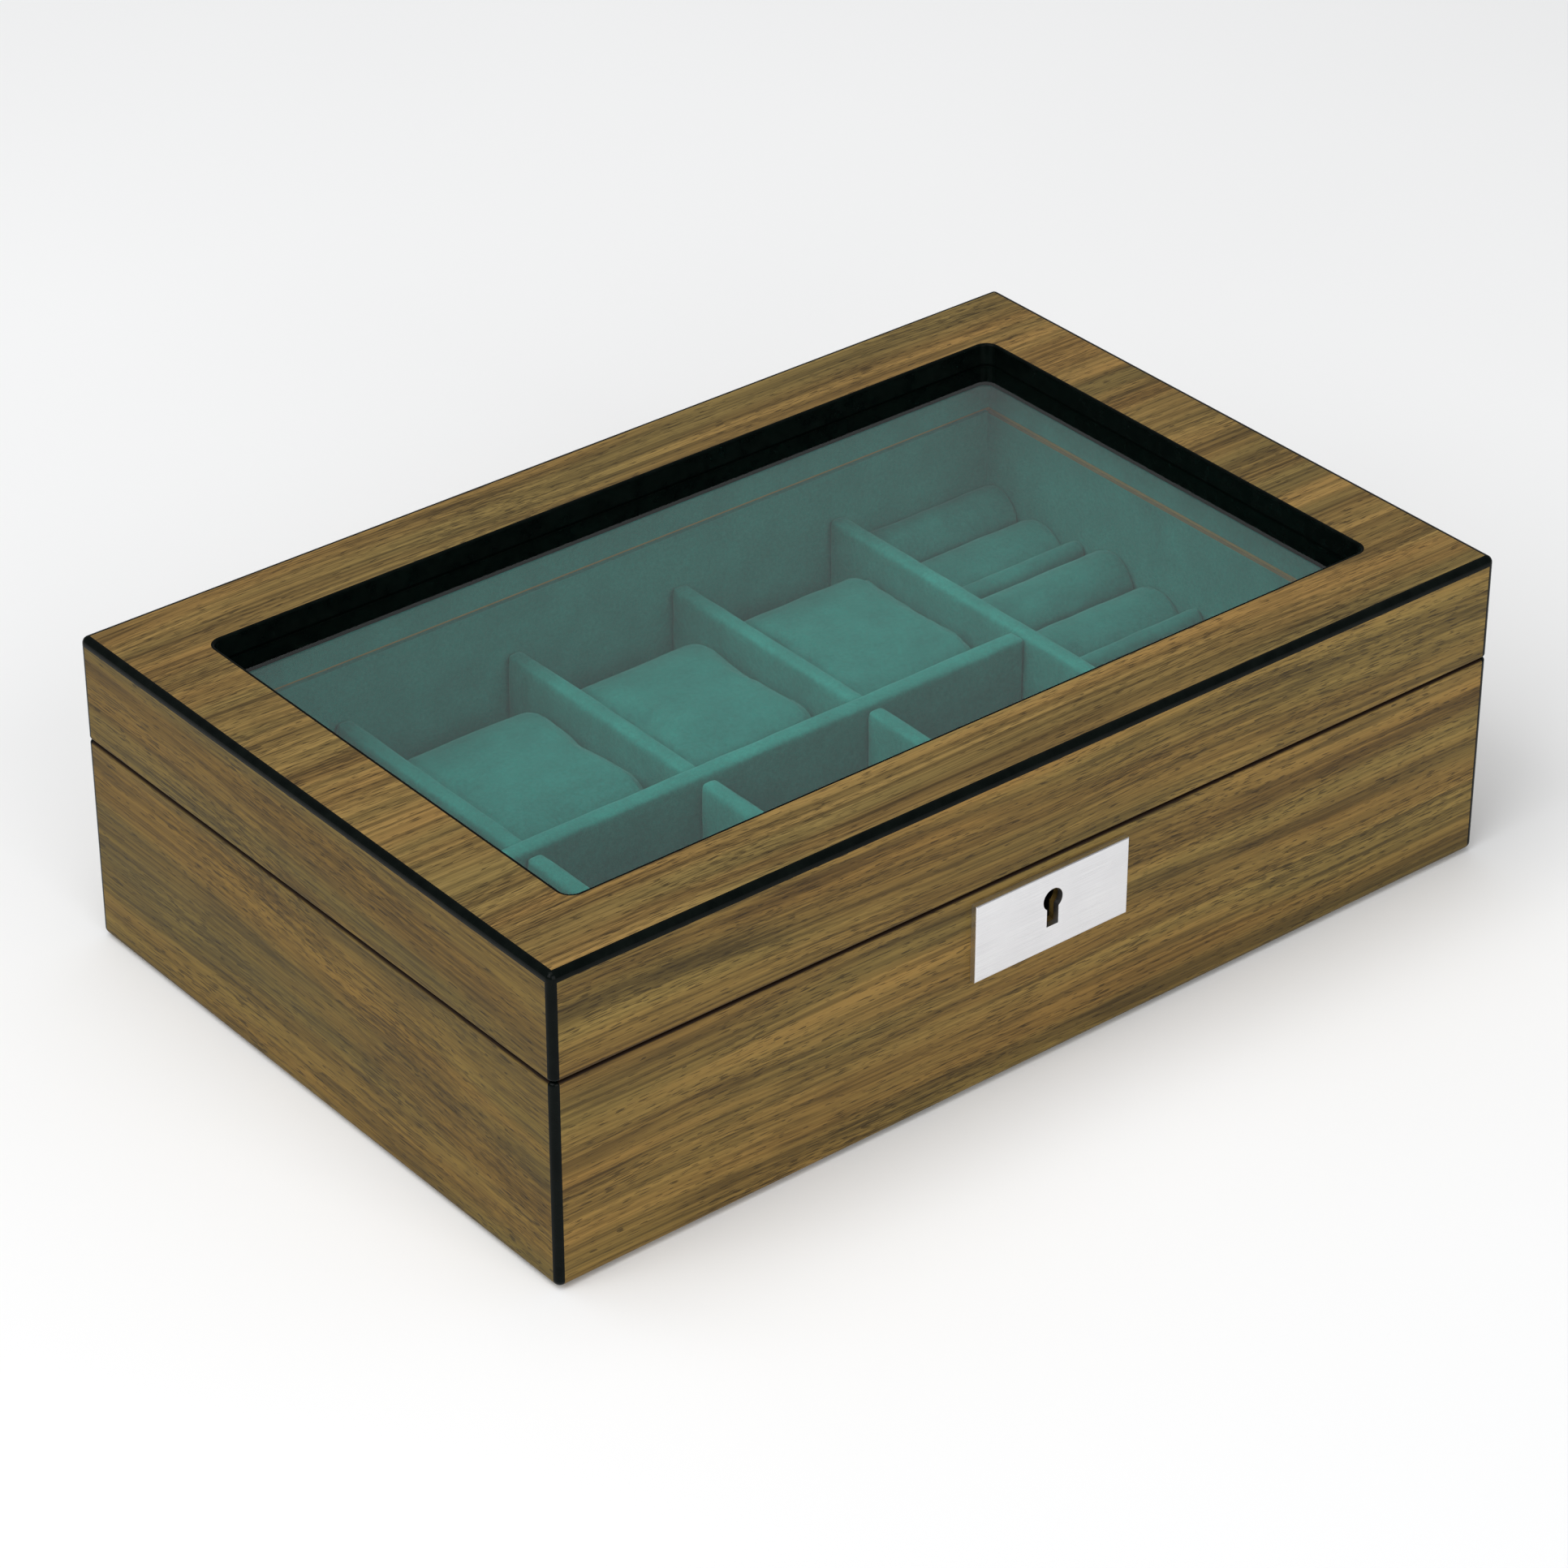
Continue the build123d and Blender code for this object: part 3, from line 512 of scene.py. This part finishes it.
# ---------- soft pieces ----------
def copied(nodes, name):
    """A welded copy of the CAD nodes' meshes, as one new object."""
    mesh = bpy.data.meshes.new(name)
    build = bmesh.new()
    for source in nodes:
        build.from_mesh(NODES[source].data)
    bmesh.ops.remove_doubles(build, verts=build.verts, dist=0.01 * MM)
    build.to_mesh(mesh)
    build.free()
    obj = bpy.data.objects.new(name, mesh)
    bpy.context.scene.collection.objects.link(obj)
    return obj


def islands(obj):
    """Index arrays of the vertices of each separate solid in a mesh."""
    build = bmesh.new()
    build.from_mesh(obj.data)
    left, found = set(build.verts), []
    while left:
        start = left.pop()
        group, stack = [start.index], [start]
        while stack:
            for edge in stack.pop().link_edges:
                for v in edge.verts:
                    if v in left:
                        left.remove(v)
                        group.append(v.index)
                        stack.append(v)
        found.append(np.array(sorted(group)))
    build.free()
    return sorted(found, key=lambda g: g[0])


def points(obj):
    co = np.zeros(len(obj.data.vertices) * 3)
    obj.data.vertices.foreach_get("co", co)
    return co.reshape(-1, 3)


def set_points(obj, co):
    obj.data.vertices.foreach_set("co", np.asarray(co, float).ravel())
    obj.data.update()


def normals(obj):
    no = np.zeros(len(obj.data.vertices) * 3)
    obj.data.vertices.foreach_get("normal", no)
    return no.reshape(-1, 3)


def shrink(obj, inset):
    """Pulls every solid's faces in by inset along each axis."""
    co = points(obj)
    for group in islands(obj):
        lo, hi = co[group].min(0), co[group].max(0)
        centre, half = (lo + hi) / 2, (hi - lo) / 2
        co[group] = centre + (co[group] - centre) * (half - np.asarray(inset)) / half
    set_points(obj, co)


def apply_modifier(obj, kind, **settings):
    modifier = obj.modifiers.new(kind, kind)
    for key, value in settings.items():
        setattr(modifier, key, value)
    graph = bpy.context.evaluated_depsgraph_get()
    made = bpy.data.meshes.new_from_object(obj.evaluated_get(graph))
    obj.modifiers.remove(modifier)
    old = obj.data
    obj.data = made
    bpy.data.meshes.remove(old)


def puff(obj, pressure, cap, frames=20):
    """Inflates a closed mesh as cloth, and keeps every point within cap of its start."""
    start = points(obj)
    modifier = obj.modifiers.new("Cloth", "CLOTH")
    cloth = modifier.settings
    cloth.quality = 4
    cloth.use_pressure = True
    cloth.uniform_pressure_force = pressure
    cloth.tension_stiffness = 12
    cloth.compression_stiffness = 12
    cloth.bending_stiffness = 0.4
    cloth.effector_weights.gravity = 0
    modifier.collision_settings.use_collision = False
    modifier.point_cache.frame_start = 1
    modifier.point_cache.frame_end = frames
    for step in range(1, frames + 1):
        bpy.context.scene.frame_set(step)
    graph = bpy.context.evaluated_depsgraph_get()
    swollen = obj.evaluated_get(graph).to_mesh()
    co = np.zeros(len(swollen.vertices) * 3)
    swollen.vertices.foreach_get("co", co)
    obj.evaluated_get(graph).to_mesh_clear()
    obj.modifiers.remove(modifier)
    bpy.context.scene.frame_set(1)
    move = co.reshape(-1, 3) - start
    length = np.linalg.norm(move, axis=1, keepdims=True) + 1e-12
    print(obj.name, "cloth moved", round(float(length.max() / MM), 2), "mm")
    set_points(obj, start + move * cap * np.tanh(length / cap) / length)


def ripple(obj, seed, size, depth):
    """Small uneven swells of stretched cloth, along the surface normal."""
    co, no = points(obj), normals(obj)
    shift = Vector((seed * 1.7, seed * 2.3, seed * 0.9))
    amount = np.array([field.noise(Vector(p) / size + shift) for p in co])
    set_points(obj, co + no * (amount * depth)[:, None])


def keep_inside(obj, lo, hi):
    set_points(obj, np.clip(points(obj), np.array(lo), np.array(hi)))


def smooth_shade(obj):
    obj.data.polygons.foreach_set("use_smooth", [True] * len(obj.data.polygons))


def soft(obj, cloth, slot, body, fill, *stands_for):
    obj.data.materials.clear()
    obj.data.materials.append(cloth)
    smooth_shade(obj)
    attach(obj, body)
    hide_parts(*stands_for)


def end_seams(obj, lo, hi):
    """The two sewn seams that run round a pillow near its ends."""
    co, no = points(obj), normals(obj)
    centre, half = (lo.x + hi.x) / 2, (hi.x - lo.x) / 2
    off = np.abs(np.abs(co[:, 0] - centre) - (half - SEAM_INSET))
    depth = SEAM_DEPTH * np.exp(-((off / SEAM_WIDTH) ** 2))
    ends = np.abs(no[:, 0]) < 0.8
    set_points(obj, co - no * (depth * ends)[:, None])


def pillow(node_name, seed):
    """One stuffed pillow: a wrapped bolster with sewn end caps and a crowned top."""
    lo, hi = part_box(node_name)
    obj = copied([node_name], node_name + "_cushion")
    shrink(obj, (PILLOW_INSET, PILLOW_INSET, PILLOW_INSET * PILLOW_FOOT_SHARE))
    apply_modifier(obj, "REMESH", mode="VOXEL", voxel_size=PILLOW_VOXEL)
    puff(obj, pressure=PILLOW_PRESSURE, cap=PILLOW_SWELL)
    apply_modifier(obj, "SUBSURF", levels=1)
    ripple(obj, seed, *PILLOW_RIPPLE)
    end_seams(obj, lo, hi)
    keep_inside(obj, lo, hi)
    soft(obj, SUEDE_PILLOW, "pillow_suede", node_name, 0.75, node_name)


def foam_pad(name, node_name, inset, cap, seed, fill):
    """Cufflink foam pads: long soft rolls that the cloth is stretched over."""
    lo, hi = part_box(node_name)
    obj = copied([node_name], name)
    shrink(obj, (PAD_END_INSET, inset, inset * PAD_FOOT_SHARE))
    apply_modifier(obj, "REMESH", mode="VOXEL", voxel_size=PAD_VOXEL)
    puff(obj, pressure=PAD_PRESSURE, cap=cap, frames=PAD_FRAMES)
    apply_modifier(obj, "SUBSURF", levels=1)
    ripple(obj, seed, *PAD_RIPPLE)
    keep_inside(obj, lo, hi)
    soft(obj, SUEDE_PAD, "pad_suede", "base", fill, node_name)


def wrapped_board(name, node_name, seed):
    """A board with cloth glued round it, so its edges are soft and a little uneven."""
    lo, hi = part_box(node_name)
    obj = copied([node_name], name)
    shrink(obj, BOARD_INSET)
    apply_modifier(obj, "REMESH", mode="VOXEL", voxel_size=BOARD_VOXEL)
    apply_modifier(obj, "SMOOTH", factor=0.5, iterations=3)
    apply_modifier(obj, "SUBSURF", levels=1)
    ripple(obj, seed, *BOARD_RIPPLE)
    keep_inside(obj, lo, hi)
    soft(obj, SUEDE_LINING, "lining_suede", "base", None, node_name)


# Foam pads: the CAD node, how far it is drawn in, how far it may swell, a seed and the fill.
FOAM_PADS = {
    "cufflink_wide_pads": ("cufflink_wide_rolls", 0.7 * MM, 1.0 * MM, 2.1, 0.8),
    "cufflink_mid_pads": ("cufflink_mid_rolls", 0.7 * MM, 1.0 * MM, 4.3, 0.8),
    "cufflink_ledge_pads": ("cufflink_ledges", 0.4 * MM, 0.5 * MM, 6.6, 0.8),
    "cufflink_bed_pad": ("cufflink_bed", 0.2 * MM, 0.4 * MM, 8.2, 0.9),
}
BOARDS = ("long_divider", "cufflink_divider", "back_bay_dividers", "front_bay_dividers")


def soft_pieces():
    for count, node_name in enumerate(sorted(n for n in NODES if n.startswith("pillow_"))):
        pillow(node_name, 3.7 + count * 1.9)
    for name, (node_name, inset, cap, seed, fill) in FOAM_PADS.items():
        foam_pad(name, node_name, inset, cap, seed, fill)
    for count, node_name in enumerate(BOARDS):
        wrapped_board(node_name + "_board", node_name, 1.3 + count)


# ---------- studio ----------
FLOOR_HALF = 4.0
FLOOR_DROP = 0.1 * MM
LAMP_DISTANCE = 3.4
LAMP_SIZE = 2.6
AIR = (0.34, 0.345, 0.35, 1)
SENSOR = 36.0


def floor():
    mesh = bpy.data.meshes.new("studio_floor")
    build = bmesh.new()
    bmesh.ops.create_grid(build, x_segments=8, y_segments=8, size=FLOOR_HALF)
    bmesh.ops.translate(build, verts=build.verts, vec=(0, 0, -FLOOR_DROP))
    build.to_mesh(mesh)
    build.free()
    obj = bpy.data.objects.new("studio_floor", mesh)
    bpy.context.scene.collection.objects.link(obj)
    made, tree, shader = material("studio_paper")
    mottle = noise(tree, place(tree), (0.4, 0.4, 0.4), 95, detail=2.0)
    stops = ((0.3, (0.90, 0.90, 0.90, 1)), (0.7, (0.93, 0.93, 0.93, 1)))
    link(tree, ramp(tree, mottle, stops), shader, "Base Color")
    shader.inputs["Roughness"].default_value = 0.9
    shader.inputs["Specular IOR Level"].default_value = 0.1
    mesh.materials.append(made)


def direction(azimuth, elevation):
    """Unit vector from the box towards a lamp or the camera; azimuth 0 is the front."""
    a, e = math.radians(azimuth), math.radians(elevation)
    return Vector((math.sin(a) * math.cos(e), -math.cos(a) * math.cos(e), math.sin(e)))


def soft_box(name, azimuth, elevation, level):
    """A square lamp aimed at the box. level is the light it gives a surface that faces it."""
    lamp = bpy.data.lights.new(name, "AREA")
    lamp.shape = "SQUARE"
    lamp.size = LAMP_SIZE
    lamp.energy = level * math.pi**2 * LAMP_DISTANCE**2
    obj = bpy.data.objects.new(name, lamp)
    back = direction(azimuth, elevation)
    obj.location = back * LAMP_DISTANCE
    obj.rotation_mode = "QUATERNION"
    obj.rotation_quaternion = (-back).to_track_quat("-Z", "Y")
    bpy.context.scene.collection.objects.link(obj)


def studio():
    floor()
    soft_box("key_lamp", azimuth=-82, elevation=48, level=0.48)
    soft_box("fill_lamp", azimuth=-8, elevation=24, level=0.40)
    soft_box("top_lamp", azimuth=-120, elevation=78, level=0.34)
    world = bpy.data.worlds.new("studio_air")
    world.use_nodes = True
    world.node_tree.nodes["Background"].inputs["Color"].default_value = AIR
    bpy.context.scene.world = world
    bpy.context.scene.view_settings.view_transform = "Standard"


def camera():
    back = direction(CAMERA_AZIMUTH, CAMERA_ELEVATION)
    turn = math.radians(CAMERA_AZIMUTH)
    right = Vector((math.cos(turn), math.sin(turn), 0))
    up = back.cross(right)
    target = Vector((0, 0, CAMERA_TARGET_HEIGHT))
    target += right * CAMERA_SHIFT_RIGHT + up * CAMERA_SHIFT_UP
    lens = bpy.data.cameras.new("camera")
    lens.sensor_width = SENSOR
    lens.lens = CAMERA_LENS
    obj = bpy.data.objects.new("camera", lens)
    obj.location = target + back * CAMERA_DISTANCE
    obj.rotation_mode = "QUATERNION"
    obj.rotation_quaternion = (-back).to_track_quat("-Z", "Y")
    bpy.context.scene.collection.objects.link(obj)
    bpy.context.scene.camera = obj


finish_nodes()
soft_pieces()
studio()
camera()
